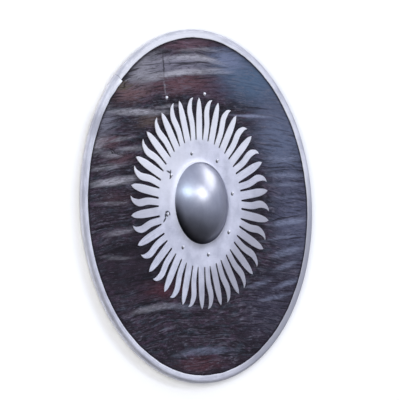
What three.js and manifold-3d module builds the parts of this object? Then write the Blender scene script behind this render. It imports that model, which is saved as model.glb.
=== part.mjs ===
// Round wooden shield with a folded steel rim, a sheet steel sun with 44 rays and a domed boss.
// It lies on its back, face up: +Z comes out of the face, +Y is the top of the face, +X its right.
// The origin is under the middle of the rim, on the surface that the shield lies on.
// Angles round the face run clockwise from +Y as the face is looked at.
import * as THREE from 'three';
import { mergeVertices } from 'three/addons/utils/BufferGeometryUtils.js';
import Module from 'manifold-3d';

const wasm = await Module();
wasm.setup();

// Driving dimensions, in millimetres and degrees

// overall size and the board
const shieldRadius = 305;
const boardThickness = 8;
const seatGap = 0.3; // what is left between two pieces that touch
const holeClearance = 0.3; // radial room round each nail and rivet

// rim strip, folded over the edge of the board
const rimWall = 1;
const rimFaceWidth = 14;
const lapAngle = -41; // where the strip's outer end shows
const lapLength = 45; // how far back the outer end rides over the inner one
const lapRise = 0.5; // the share of that length in which it climbs
const lapOverhang = 1.6; // how far the outer end's edge reaches in past the rest

// sun plate
const sunOffset = 5; // the sun sits this far above the middle of the board
const plateThickness = 1.2;
const slotRootMargin = 13; // from the boss's flange to the slots between the rays
const rayLength = 72;
const rayPairs = 22; // each pair is a straight ray and a wavy one
const firstRayAngle = 3.25;
const slotWidth = 3.1; // at the slots' roots
const wavyRayRootWidth = 11.2;
const wavyRayWidth = 12.6;
const slotEndSag = 1.6; // how deep the rounded end of a slot goes

// boss
const bossSeatRadius = 72; // where the dome comes out of the plate's turned-up edge
const bossHeight = 33; // from the top of its flange
const bossWall = 1.5;
const flareRadius = 14.5; // bend between the flange and the dome
const flareAngle = 33; // how far round that bend the plate's edge is turned up

// nails that hold the plate and the boss's flange to the board
const nailCount = 8;
const nailPhase = -9.8;
const nailInset = 9; // from the bend to the nail circle, and from there to the flange's edge
const nailShankRadius = 1.2;
const nailHeadRadius = 2.8;
const nailHeadHeight = 1.7;
const nailCover = 0.7; // wood left under a nail's point

// straps across the back, and their rivets
const strapThickness = 3;
const strapRoom = 12; // left for a hand between board and strap while the shield's weight is on it
const strapBendRadius = 6; // outside of its four bends
const strapBendAngle = 75; // how steeply it leaves the board
const strapFlatLength = 9; // flat on the board from a rivet inwards
const strapEndMargin = 15; // from a rivet to the strap's end
const strapCornerLength = 8; // how far back a strap's rounded end reaches
const gripWidth = 30;
const gripSpan = 100.8; // between its two rivets
const gripSide = -23; // its middle is this far along X
const gripRise = 3.1; // and this far above the top of the rays
const gripTurn = 2.4; // it isn't quite level
const armWidth = 36;
const armRivetInset = 14.7; // its rivets are hidden this far inside the boss's seat
const armRivetAngle = 115; // to each side of the top
const rivetShankRadius = 1.8;
const rivetHeadRadius = 3.2;
const rivetHeadHeight = 2.2;
const peenRadius = 4;
const peenHeight = 1.5;

// facets
const roundFacets = 64;
const bossFacets = 32;
const domeFacets = 7;
const edgeFacets = 4;
const bendFacets = 3;
const headFacets = 2;
const smallFacets = 8;
const cutMargin = 1; // a cut runs this far past the face that it opens
const lapStep = 0.02; // the rim strip's cut end is a step this many degrees to each side
const lapSpacing = 0.5; // and no other station of the rim is this near to it, in degrees

// Levels, worked out from the floor up
const strapDepth = strapRoom + strapThickness;
const peenDepth = seatGap + strapThickness + seatGap + peenHeight;
const boardBack = Math.max(strapDepth, peenDepth, seatGap + 2 * rimWall);
const boardFace = boardBack + boardThickness;
const flangeTop = boardFace;
const flangeBottom = flangeTop - bossWall;
const seatFloor = flangeBottom - seatGap;
const plateBottom = flangeTop + seatGap;
const plateTop = plateBottom + plateThickness;
const nailPoint = boardBack + nailCover;
const strapTop = boardBack - seatGap;

// Radii, worked out from the seat of the boss outwards
const radians = THREE.MathUtils.degToRad;
const degrees = THREE.MathUtils.radToDeg;
const bendCentreRadius = bossSeatRadius + flareRadius * Math.sin(radians(flareAngle));
const nailCircleRadius = bendCentreRadius + nailInset;
const flangeRadius = nailCircleRadius + nailInset;
const slotRootRadius = flangeRadius + slotRootMargin;
const rayTipRadius = slotRootRadius + rayLength;
const rayPairArc = (2 * Math.PI * slotRootRadius) / rayPairs;
const straightRayWidth = rayPairArc - wavyRayRootWidth - 2 * slotWidth;
const edgeRadius = boardThickness / 2; // the board's edge is half round, and the rim follows it
const foldRadius = edgeRadius + seatGap + rimWall;
const foldCentre = [shieldRadius - foldRadius, boardBack + edgeRadius];
const rimInnerRadius = shieldRadius - rimFaceWidth;
const nailHoleRadius = nailShankRadius + holeClearance;
const rivetHoleRadius = rivetShankRadius + holeClearance;

// Small helpers

// the point at a radius and a clockwise angle from +Y, round a centre
function polar(radius, angle, centre = [0, 0]) {
  const a = radians(angle);
  return [centre[0] + radius * Math.sin(a), centre[1] + radius * Math.cos(a)];
}

// welds a geometry's vertices and drops the triangles that this leaves with no area
function welded(geometry) {
  const bare = geometry.clone();
  bare.deleteAttribute('normal');
  bare.deleteAttribute('uv');
  const whole = mergeVertices(bare, 1e-4);
  const index = whole.index.array;
  const kept = [];
  for (let i = 0; i < index.length; i += 3) {
    const [a, b, c] = [index[i], index[i + 1], index[i + 2]];
    if (a !== b && b !== c && c !== a) kept.push(a, b, c);
  }
  whole.setIndex(kept);
  return whole;
}

function toSolid(geometry) {
  const whole = welded(geometry);
  const mesh = new wasm.Mesh({
    numProp: 3,
    vertProperties: new Float32Array(whole.attributes.position.array),
    triVerts: new Uint32Array(whole.index.array),
  });
  return new wasm.Manifold(mesh);
}

function toGeometry(solid) {
  const mesh = solid.getMesh();
  const geometry = new THREE.BufferGeometry();
  geometry.setAttribute('position', new THREE.BufferAttribute(mesh.vertProperties, 3));
  geometry.setIndex(new THREE.BufferAttribute(mesh.triVerts, 1));
  return geometry;
}

// turns a profile of [radius, height] points, anticlockwise, about the Z axis
function turned(profile, facets) {
  const points = profile.map(([radius, z]) => new THREE.Vector2(radius, z));
  return new THREE.LatheGeometry(points, facets).rotateX(Math.PI / 2);
}

// points on an arc in the profile plane, with angles from the outward direction towards +Z
function profileArc(centre, radius, from, to, steps) {
  const points = [];
  for (let i = 0; i <= steps; i++) {
    const a = radians(from + ((to - from) * i) / steps);
    points.push([centre[0] + radius * Math.cos(a), centre[1] + radius * Math.sin(a)]);
  }
  return points;
}

function hole(radius, [x, y], zLow, zHigh, facets = smallFacets) {
  const profile = [[0, zLow], [radius, zLow], [radius, zHigh], [0, zHigh]];
  return toSolid(turned(profile, facets).translate(x, y, 0));
}

function ringPoints(radius, facets, centre) {
  return Array.from({ length: facets }, (_, i) => polar(radius, (360 / facets) * i, centre));
}

// adds a ring of points at one height and returns the number of its first vertex
function pushRing(positions, points, z) {
  const first = positions.length / 3;
  for (const [x, y] of points) positions.push(x, y, z);
  return first;
}

// joins closed rings of equally many points into one skin, each ring to the next
function pushRingStrips(index, rings, count) {
  for (let k = 0; k + 1 < rings.length; k++) {
    for (let i = 0; i < count; i++) {
      const j = (i + 1) % count;
      const [a, b, c, d] = [rings[k] + i, rings[k] + j, rings[k + 1] + j, rings[k + 1] + i];
      index.push(a, b, c, a, c, d);
    }
  }
}

function indexed(positions, index) {
  const geometry = new THREE.BufferGeometry();
  geometry.setAttribute('position', new THREE.Float32BufferAttribute(positions, 3));
  geometry.setIndex(index);
  return geometry;
}

// Places of the nails and rivets

const sunCentre = [0, sunOffset];
const nailPlaces = Array.from({ length: nailCount }, (_, i) =>
  polar(nailCircleRadius, nailPhase + (360 / nailCount) * i, sunCentre));

// the two rivets of each strap, left one first
const gripCentre = [gripSide, sunOffset + rayTipRadius + gripRise];
const gripEnds = [-90, 90].map((side) => polar(gripSpan / 2, side - gripTurn, gripCentre));
const armRivetRadius = bossSeatRadius - armRivetInset;
const armEnds = [-1, 1].map((side) => polar(armRivetRadius, side * armRivetAngle, sunCentre));
const armSpan = armEnds[1][0] - armEnds[0][0];
const armCentre = [0, armEnds[0][1]];

// Board: one round of wood with a half-round edge and a shallow seat for the boss's flange

function makeBoard() {
  const edge = profileArc(foldCentre, edgeRadius, -90, 90, edgeFacets);
  const round = turned([[0, boardBack], ...edge, [0, boardFace]], roundFacets);
  const seat = hole(flangeRadius + seatGap, sunCentre, seatFloor, boardFace + cutMargin, bossFacets);
  let board = toSolid(round).subtract(seat);
  for (const place of nailPlaces) {
    board = board.subtract(hole(nailHoleRadius, place, nailPoint - seatGap, boardFace));
  }
  for (const place of [...gripEnds, ...armEnds]) {
    board = board.subtract(hole(rivetHoleRadius, place, boardBack - cutMargin, boardFace + cutMargin));
  }
  return toGeometry(board);
}

// Rim: one steel strip folded to a half-round channel, with its ends lapped

// the channel's section at a place where the outer end has climbed onto the inner one by share
function rimSection(share) {
  const outer = foldRadius + rimWall * share;
  const inner = foldRadius - rimWall;
  const edge = rimInnerRadius - lapOverhang * share;
  const middle = foldCentre[1];
  return [
    [edge, middle - outer],
    ...profileArc(foldCentre, outer, -90, 90, edgeFacets),
    [edge, middle + outer],
    [edge, middle + inner],
    ...profileArc(foldCentre, inner, 90, -90, edgeFacets),
    [edge, middle - inner],
  ];
}

// the angles at which the strip has a section, from the last one round to the first
function rimStations() {
  const lapSweep = degrees(lapLength / shieldRadius);
  const lapStart = lapAngle - lapSweep;
  const ends = [lapStart, lapAngle];
  const stations = [
    { angle: lapStart, share: 0 },
    { angle: lapAngle - lapStep, share: 1 },
    { angle: lapAngle + lapStep, share: 0 },
  ];
  for (let i = 0; i < roundFacets; i++) {
    const angle = -180 + (360 / roundFacets) * i;
    const inLap = angle > lapStart && angle < lapAngle;
    const climb = THREE.MathUtils.smoothstep(angle, lapStart, lapStart + lapSweep * lapRise);
    const clear = ends.every((end) => Math.abs(angle - end) > lapSpacing);
    if (clear) stations.push({ angle, share: inLap ? climb : 0 });
  }
  return stations.sort((a, b) => b.angle - a.angle);
}

function makeRim() {
  const positions = [];
  const sections = rimStations().map(({ angle, share }) => ({ angle, points: rimSection(share) }));
  const rings = sections.map(({ angle, points }) => {
    const first = positions.length / 3;
    for (const [radius, z] of points) positions.push(...polar(radius, angle), z);
    return first;
  });
  const index = [];
  pushRingStrips(index, [...rings, rings[0]].reverse(), sections[0].points.length);
  return indexed(positions, index);
}

// Sun plate: a flat sheet cut into rays, its middle hole turned up round the dome

// Shares of a ray's length run from 0 at its root to 1 at its point.
// straightWidths has the straight ray's width at such shares, as a part of its width at the root.
// wavyLine is the wavy ray's middle line: shares, and millimetres to the side, clockwise positive.
// wavySteps are the shares of that line's own length at which the ray's two sides have a point.
const straightWidths = [[0, 1], [0.52, 1], [0.66, 0.94], [0.8, 0.76], [0.91, 0.5]];
const wavyLine = [[0, -0.4], [0.36, 0.9], [0.68, -2.3], [0.86, 0.6], [0.95, 4.6], [1, 9.6]];
const wavySteps = [0.14, 0.28, 0.42, 0.54, 0.66, 0.77, 0.87, 0.95];
const wavyFullShare = 0.5; // where a wavy ray is widest
const wavyTaperPower = 2.6; // the higher, the later it narrows to its point

function wavyRayWidthAt(share) {
  const grown = Math.min(share / wavyFullShare, 1);
  const past = Math.max(share - wavyFullShare, 0) / (1 - wavyFullShare);
  const full = THREE.MathUtils.lerp(wavyRayRootWidth, wavyRayWidth, grown);
  return full * (1 - past ** wavyTaperPower);
}

// the two sides and the point of a ray in its own frame: x across it, clockwise positive, y the radius
function straightRay() {
  const right = straightWidths.map(([share, part]) => [
    (straightRayWidth * part) / 2,
    slotRootRadius + rayLength * share,
  ]);
  return { left: right.map(([x, y]) => [-x, y]), right, tip: [0, rayTipRadius] };
}

function wavyRay() {
  const line = wavyLine.map(([share, side]) => new THREE.Vector2(side, slotRootRadius + rayLength * share));
  const curve = new THREE.SplineCurve(line);
  const left = [[line[0].x - wavyRayRootWidth / 2, slotRootRadius]];
  const right = [[line[0].x + wavyRayRootWidth / 2, slotRootRadius]];
  for (const t of wavySteps) {
    const middle = curve.getPointAt(t);
    const along = curve.getTangentAt(t);
    const half = wavyRayWidthAt(t) / 2;
    left.push([middle.x - along.y * half, middle.y + along.x * half]);
    right.push([middle.x + along.y * half, middle.y - along.x * half]);
  }
  const tip = curve.getPointAt(1);
  return { left, right, tip: [tip.x, tip.y] };
}

// a point of a ray's own frame, wrapped round the sun's centre so that arcs keep their length
function placeOnRay([across, radius], angle) {
  return polar(radius, angle + degrees(across / radius), sunCentre);
}

// the outline of all rays, clockwise, with one more point at the middle of each slot's rounded end
function sunOutline() {
  const rays = [straightRay(), wavyRay()];
  const pitch = 360 / rayPairs / rays.length;
  const outline = [];
  for (let k = 0; k < rayPairs * rays.length; k++) {
    const ray = rays[k % rays.length];
    const next = rays[(k + 1) % rays.length];
    const angle = firstRayAngle + pitch * k;
    const side = [...ray.left, ray.tip, ...[...ray.right].reverse()];
    outline.push(...side.map((point) => placeOnRay(point, angle)));
    const slotFrom = degrees(ray.right[0][0] / slotRootRadius);
    const slotTo = pitch + degrees(next.left[0][0] / slotRootRadius);
    outline.push(polar(slotRootRadius - slotEndSag, angle + (slotFrom + slotTo) / 2, sunCentre));
  }
  return outline;
}

// the turned-up edge in the profile plane: up its underside, over the cut edge and back down its top
function lipProfile() {
  const centre = [bendCentreRadius, flangeTop + flareRadius];
  const underRadius = flareRadius - seatGap;
  const under = profileArc(centre, underRadius, 270, 270 - flareAngle, bendFacets);
  const over = profileArc(centre, underRadius - plateThickness, 270 - flareAngle, 270, bendFacets);
  return [...under.slice(1), ...over.slice(0, -1)];
}

function makeSunPlate() {
  const middle = ringPoints(bendCentreRadius, bossFacets, sunCentre);
  const nailRings = nailPlaces.map((place) => ringPoints(nailHoleRadius, smallFacets, place));
  const rings = [sunOutline().reverse(), middle, ...nailRings];
  const [contour, ...holes] = rings.map((ring) => ring.map(([x, y]) => new THREE.Vector2(x, y)));
  const faces = THREE.ShapeUtils.triangulateShape(contour, holes);
  const positions = [];
  const tops = rings.map((ring) => pushRing(positions, ring, plateTop));
  const bottoms = rings.map((ring) => pushRing(positions, ring, plateBottom));
  const down = bottoms[0] - tops[0];
  const index = [];
  for (const [a, b, c] of faces) index.push(a, b, c, a + down, c + down, b + down);
  const lip = lipProfile().map(([radius, z]) =>
    pushRing(positions, ringPoints(radius, bossFacets, sunCentre), z));
  rings.forEach((ring, k) => {
    const between = ring === middle ? lip : [];
    pushRingStrips(index, [bottoms[k], ...between, tops[k]], ring.length);
  });
  return indexed(positions, index);
}

// Boss: a hollow dome raised from sheet, its flange under the sun plate

function makeBoss() {
  const turn = degrees(2 * Math.atan(bossHeight / bendCentreRadius));
  const domeRadius = bendCentreRadius / Math.sin(radians(turn)) - flareRadius;
  const domeCentre = [0, flangeTop + bossHeight - domeRadius];
  const bendCentre = [bendCentreRadius, flangeTop + flareRadius];
  const innerDome = profileArc(domeCentre, domeRadius - bossWall, 90, 90 - turn, domeFacets);
  const innerBend = profileArc(bendCentre, flareRadius + bossWall, 270 - turn, 270, bendFacets);
  const outerBend = profileArc(bendCentre, flareRadius, 270, 270 - turn, bendFacets);
  const outerDome = profileArc(domeCentre, domeRadius, 90 - turn, 90, domeFacets);
  innerDome[0][0] = 0;
  outerDome[domeFacets][0] = 0;
  const profile = [
    ...innerDome,
    ...innerBend.slice(1),
    [flangeRadius, flangeBottom],
    [flangeRadius, flangeTop],
    ...outerBend,
    ...outerDome.slice(1),
  ];
  let boss = toSolid(turned(profile, bossFacets).translate(...sunCentre, 0));
  for (const place of nailPlaces) {
    boss = boss.subtract(hole(nailHoleRadius, place, flangeBottom - cutMargin, flangeTop + cutMargin));
  }
  return toGeometry(boss);
}

// Nails and rivets: a shallow domed head on a round shank

function headProfile(headRadius, height, z) {
  const sphere = (headRadius ** 2 + height ** 2) / (2 * height);
  const half = degrees(Math.asin(headRadius / sphere));
  const arc = profileArc([0, z + height - sphere], sphere, 90 - half, 90, headFacets);
  arc[headFacets][0] = 0;
  return arc;
}

function makeNail() {
  const underHead = plateTop + seatGap;
  return turned(
    [
      [0, nailPoint],
      [nailShankRadius, nailPoint + 2 * nailShankRadius],
      [nailShankRadius, underHead],
      ...headProfile(nailHeadRadius, nailHeadHeight, underHead),
    ],
    smallFacets,
  );
}

// surface is the height of the wood that the rivet's head sits on
function makeRivet(surface) {
  const peenTop = strapTop - strapThickness - seatGap;
  const underHead = surface + seatGap;
  return turned(
    [
      [0, peenTop - peenHeight],
      [peenRadius - peenHeight / 2, peenTop - peenHeight],
      [peenRadius, peenTop],
      [rivetShankRadius, peenTop],
      [rivetShankRadius, underHead],
      ...headProfile(rivetHeadRadius, rivetHeadHeight, underHead),
    ],
    smallFacets,
  );
}

// Straps: leather strips riveted at both ends, standing off the board between four bends

// the right half of a strap's two faces in the profile plane, each from the middle outwards
function strapFaces(span) {
  const insideRadius = strapBendRadius - strapThickness;
  const bothRadii = strapBendRadius + insideRadius;
  const slope = radians(strapBendAngle);
  const rise = strapRoom - seatGap;
  const steepLength = (rise - bothRadii * (1 - Math.cos(slope))) / Math.sin(slope);
  const footX = span / 2 - strapFlatLength;
  const crestX = footX - bothRadii * Math.sin(slope) - steepLength * Math.cos(slope);
  const crestCentre = [crestX, strapTop - rise + insideRadius];
  const footCentre = [footX, strapTop - strapBendRadius];
  const endX = span / 2 + strapEndMargin;
  const face = (crestRadius, footRadius, endZ) => [
    ...profileArc(crestCentre, crestRadius, 270, 270 + strapBendAngle, bendFacets),
    ...profileArc(footCentre, footRadius, 90 + strapBendAngle, 90, bendFacets),
    [endX, endZ],
  ];
  return {
    boardSide: face(insideRadius, strapBendRadius, strapTop),
    floorSide: face(strapBendRadius, insideRadius, strapTop - strapThickness),
  };
}

// the strap as seen from above: straight sides and rounded ends
function strapPlan(span, width) {
  const half = span / 2 + strapEndMargin;
  const corner = half - strapCornerLength;
  const side = width / 2;
  const plan = new THREE.Shape();
  plan.moveTo(corner, -side);
  plan.quadraticCurveTo(half, -side, half, 0);
  plan.quadraticCurveTo(half, side, corner, side);
  plan.lineTo(-corner, side);
  plan.quadraticCurveTo(-half, side, -half, 0);
  plan.quadraticCurveTo(-half, -side, -corner, -side);
  return plan;
}

function makeStrap(span, width) {
  const { boardSide, floorSide } = strapFaces(span);
  const mirrored = (face) => face.map(([x, z]) => [-x, z]).reverse();
  const floorLine = [...mirrored(floorSide), ...floorSide];
  const boardLine = [...mirrored(boardSide), ...boardSide];
  const section = [...floorLine, ...boardLine.reverse()].map(([x, z]) => new THREE.Vector2(x, z));
  const sheetOptions = { depth: width + 2 * cutMargin, bevelEnabled: false };
  const sheet = new THREE.ExtrudeGeometry(new THREE.Shape(section), sheetOptions)
    .rotateX(Math.PI / 2)
    .translate(0, width / 2 + cutMargin, 0);
  const blockOptions = { depth: boardBack + 2 * cutMargin, curveSegments: bendFacets, bevelEnabled: false };
  const block = new THREE.ExtrudeGeometry(strapPlan(span, width), blockOptions).translate(0, 0, -cutMargin);
  let strap = toSolid(sheet).intersect(toSolid(block));
  for (const x of [-span / 2, span / 2]) {
    strap = strap.subtract(hole(rivetHoleRadius, [x, 0], -cutMargin, boardBack + cutMargin));
  }
  return toGeometry(strap);
}

// The shield, piece by piece

const colours = {
  wood: { color: 0x3b3038, roughness: 0.5, metalness: 0 },
  rimSteel: { color: 0xc8c8d4, roughness: 0.45, metalness: 0.8 },
  plateSteel: { color: 0xc4c6d4, roughness: 0.42, metalness: 0.8 },
  bossSteel: { color: 0x8b8e98, roughness: 0.28, metalness: 1 },
  nailSteel: { color: 0x9a9ca4, roughness: 0.35, metalness: 1 },
  leather: { color: 0x4b3223, roughness: 0.7, metalness: 0 },
};

function piece(name, geometry, look) {
  const mesh = new THREE.Mesh(geometry, new THREE.MeshStandardMaterial(colours[look]));
  mesh.name = name;
  return mesh;
}

const group = new THREE.Group();
group.add(piece('board', makeBoard(), 'wood'));
group.add(piece('rim', makeRim(), 'rimSteel'));
group.add(piece('sun_plate', makeSunPlate(), 'plateSteel'));
group.add(piece('boss', makeBoss(), 'bossSteel'));

nailPlaces.forEach(([x, y], i) => {
  const nail = piece(`boss_nail_${i + 1}`, makeNail(), 'nailSteel');
  nail.position.set(x, y, 0);
  group.add(nail);
});

const gripStrap = piece('grip_strap', makeStrap(gripSpan, gripWidth), 'leather');
gripStrap.position.set(...gripCentre, 0);
gripStrap.rotation.z = radians(gripTurn);
group.add(gripStrap);

const armStrap = piece('arm_strap', makeStrap(armSpan, armWidth), 'leather');
armStrap.position.set(...armCentre, 0);
group.add(armStrap);

[...gripEnds, ...armEnds].forEach(([x, y], i) => {
  const surface = i < gripEnds.length ? boardFace : seatFloor;
  const rivet = piece(`strap_rivet_${i + 1}`, makeRivet(surface), 'nailSteel');
  rivet.position.set(x, y, 0);
  group.add(rivet);
});

export default group;
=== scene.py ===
import math

import bmesh
import bpy
import numpy as np
from mathutils import Matrix, Vector


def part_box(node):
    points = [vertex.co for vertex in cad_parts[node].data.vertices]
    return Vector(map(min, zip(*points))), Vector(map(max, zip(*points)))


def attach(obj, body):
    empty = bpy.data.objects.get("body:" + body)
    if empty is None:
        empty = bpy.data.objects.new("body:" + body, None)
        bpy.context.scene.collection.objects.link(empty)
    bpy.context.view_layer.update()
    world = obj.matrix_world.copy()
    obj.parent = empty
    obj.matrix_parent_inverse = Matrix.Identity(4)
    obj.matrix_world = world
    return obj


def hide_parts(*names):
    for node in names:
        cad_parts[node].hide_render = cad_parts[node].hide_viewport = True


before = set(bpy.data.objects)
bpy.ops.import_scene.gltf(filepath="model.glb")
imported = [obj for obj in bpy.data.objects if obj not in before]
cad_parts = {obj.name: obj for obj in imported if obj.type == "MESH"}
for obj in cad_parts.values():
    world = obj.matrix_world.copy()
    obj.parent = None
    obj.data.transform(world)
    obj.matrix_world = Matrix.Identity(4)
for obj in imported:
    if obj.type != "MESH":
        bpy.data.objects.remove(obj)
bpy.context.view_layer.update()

# Round wooden shield lying on its back. Sizes are in millimetres and degrees, and the meshes go into the
# scene in metres. +Y is the top of the face. Angles round the face run clockwise from +Y.

toMetres = 0.001


def boxOf(node):
    low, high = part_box(node)
    return np.array(low) / toMetres, np.array(high) / toMetres


boardLow, boardHigh = boxOf("board")
bossLow, bossHigh = boxOf("boss")
backLevel, faceLevel = boardLow[2], boardHigh[2]
midLevel = (backLevel + faceLevel) / 2
sunCentre = (bossLow + bossHigh)[:2] / 2
shieldRadius = boxOf("rim")[1][0]
clearance = 0.3         # between neighbouring pieces, so that none cuts into another
print("frame loaded, board from", round(backLevel, 2), "to", round(faceLevel, 2), "mm")


# Numbers and curves

def smoothStep(x, low, high):
    t = np.clip((x - low) / (high - low), 0, 1)
    return t * t * (3 - 2 * t)


def softNoise(u, v, seed):
    # value noise from -1 to 1: random numbers on a square lattice, eased between its corners
    table = np.random.default_rng(seed).uniform(-1, 1, (256, 256))
    iu, iv = np.floor(u).astype(int), np.floor(v).astype(int)
    eu, ev = smoothStep(u - iu, 0, 1), smoothStep(v - iv, 0, 1)
    near = table[iu % 256, iv % 256] * (1 - eu) + table[(iu + 1) % 256, iv % 256] * eu
    far = table[iu % 256, (iv + 1) % 256] * (1 - eu) + table[(iu + 1) % 256, (iv + 1) % 256] * eu
    return near * (1 - ev) + far * ev


def polar(radius, angle, centre=(0.0, 0.0)):
    # x and y at a radius and a clockwise angle from +Y
    a = np.radians(angle)
    return centre[0] + radius * np.sin(a), centre[1] + radius * np.cos(a)


def fromSunCentre(x, y):
    return np.hypot(x - sunCentre[0], y - sunCentre[1])


def arcPoints(centre, radius, start, end, count):
    # count points on an arc in a profile plane, angles from the outward direction towards +Z
    a = np.radians(np.linspace(start, end, count))
    return np.stack([centre[0] + radius * np.cos(a), centre[1] + radius * np.sin(a)], -1)


def splineThrough(knots, count):
    # a smooth curve through the knots (uniform Catmull-Rom), as count points evenly spaced along it
    p = np.asarray(knots, float)
    t = np.linspace(0, len(p) - 1, 1500)
    i = np.clip(t.astype(int), 0, len(p) - 2)
    f = (t - i)[:, None]
    p0, p1, p2, p3 = p[np.maximum(i - 1, 0)], p[i], p[i + 1], p[np.minimum(i + 2, len(p) - 1)]
    v0, v1 = (p2 - p0) / 2, (p3 - p1) / 2
    fine = (2 * (p1 - p2) + v0 + v1) * f**3 + (3 * (p2 - p1) - 2 * v0 - v1) * f**2 + v0 * f + p1
    length = np.concatenate([[0], np.cumsum(np.linalg.norm(np.diff(fine, axis=0), axis=1))])
    even = np.linspace(0, length[-1], count)
    return np.stack([np.interp(even, length, fine[:, k]) for k in range(p.shape[1])], -1)


def sideways(path):
    # unit normals of a plane path, to the left of its direction
    step = np.gradient(path, axis=0)
    step /= np.linalg.norm(step, axis=1)[:, None]
    return np.stack([-step[:, 1], step[:, 0]], -1)


# Meshes

def pointsAt(x, y, z):
    # the points of a grid, row after row, from coordinates that are broadcast together
    return np.stack(np.broadcast_arrays(x, y, z), -1).reshape(-1, 3)


def gridFaces(rows, cols):
    # quads between neighbouring points of a rows by cols grid, its last column joined to its first
    r, c = np.meshgrid(np.arange(rows - 1), np.arange(cols), indexing="ij")
    n = (c + 1) % cols
    return np.stack([r * cols + c, r * cols + n, (r + 1) * cols + n, (r + 1) * cols + c], -1).reshape(-1, 4)


def closedSheet(top, bottom, faces):
    # two skins of the same points and faces, joined by quads round every open edge
    n = len(top)
    edges = np.concatenate([faces[:, [i, (i + 1) % 4]] for i in range(4)])
    key = np.sort(edges, 1) @ np.array([2**32, 1])
    _, first, count = np.unique(key, return_index=True, return_counts=True)
    rim = edges[first[count == 1]]
    side = np.stack([rim[:, 1], rim[:, 0], rim[:, 0] + n, rim[:, 1] + n], -1)
    return np.concatenate([top, bottom]), np.concatenate([faces, faces[:, ::-1] + n, side])


def turnedSurface(profile, count, centre):
    # a profile of (radius, z) points carried once round the upright line through centre
    angle = np.linspace(0, 360, count, endpoint=False)
    return pointsAt(*polar(profile[:, :1], angle, centre), profile[:, 1:]), gridFaces(len(profile), count)


def addObject(name, data):
    made = bpy.data.objects.new(name, data)
    bpy.context.scene.collection.objects.link(made)
    return made


mergeDistance = 0.002
bevelAngle = 50         # edges sharper than this are rounded by a bevel


def addPiece(name, points, faces, look, slot, replaces, sharpAngle, bevel=0.0):
    # puts a closed surface into the scene, merged where its points meet and with its faces pointing out
    used, index = np.unique(faces, return_inverse=True)
    mesh = bpy.data.meshes.new(name)
    mesh.from_pydata((points[used] * toMetres).tolist(), [], index.reshape(faces.shape).tolist())
    bm = bmesh.new()
    bm.from_mesh(mesh)
    bmesh.ops.remove_doubles(bm, verts=bm.verts, dist=mergeDistance * toMetres)
    bmesh.ops.dissolve_degenerate(bm, edges=bm.edges, dist=mergeDistance * toMetres / 20)
    if bm.calc_volume(signed=True) < 0:
        bmesh.ops.reverse_faces(bm, faces=bm.faces)
    openEdges = sum(not edge.is_manifold for edge in bm.edges)
    bm.to_mesh(mesh)
    bm.free()
    mesh.polygons.foreach_set("use_smooth", np.ones(len(mesh.polygons), bool))
    mesh.set_sharp_from_angle(angle=math.radians(sharpAngle))
    mesh.materials.append(look)
    piece = addObject(name, mesh)
    if bevel:
        edge = piece.modifiers.new("roundedEdges", "BEVEL")
        edge.width = bevel * toMetres
        edge.segments = 2
        edge.limit_method = "ANGLE"
        edge.angle_limit = math.radians(bevelAngle)
        edge.harden_normals = True
    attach(piece, "root")
    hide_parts(*replaces)
    print(name, len(mesh.polygons), "faces,", openEdges, "open edges")


# Shader graphs

class Value:
    # an output socket; + - * and / with numbers or other values make math nodes
    def __init__(self, g, socket):
        self.g, self.socket = g, socket

    def __add__(self, other):
        return self.g.calc("ADD", self, other)

    def __sub__(self, other):
        return self.g.calc("SUBTRACT", self, other)

    def __rsub__(self, other):
        return self.g.calc("SUBTRACT", other, self)

    def __mul__(self, other):
        return self.g.calc("MULTIPLY", self, other)

    def __truediv__(self, other):
        return self.g.calc("DIVIDE", self, other)


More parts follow.
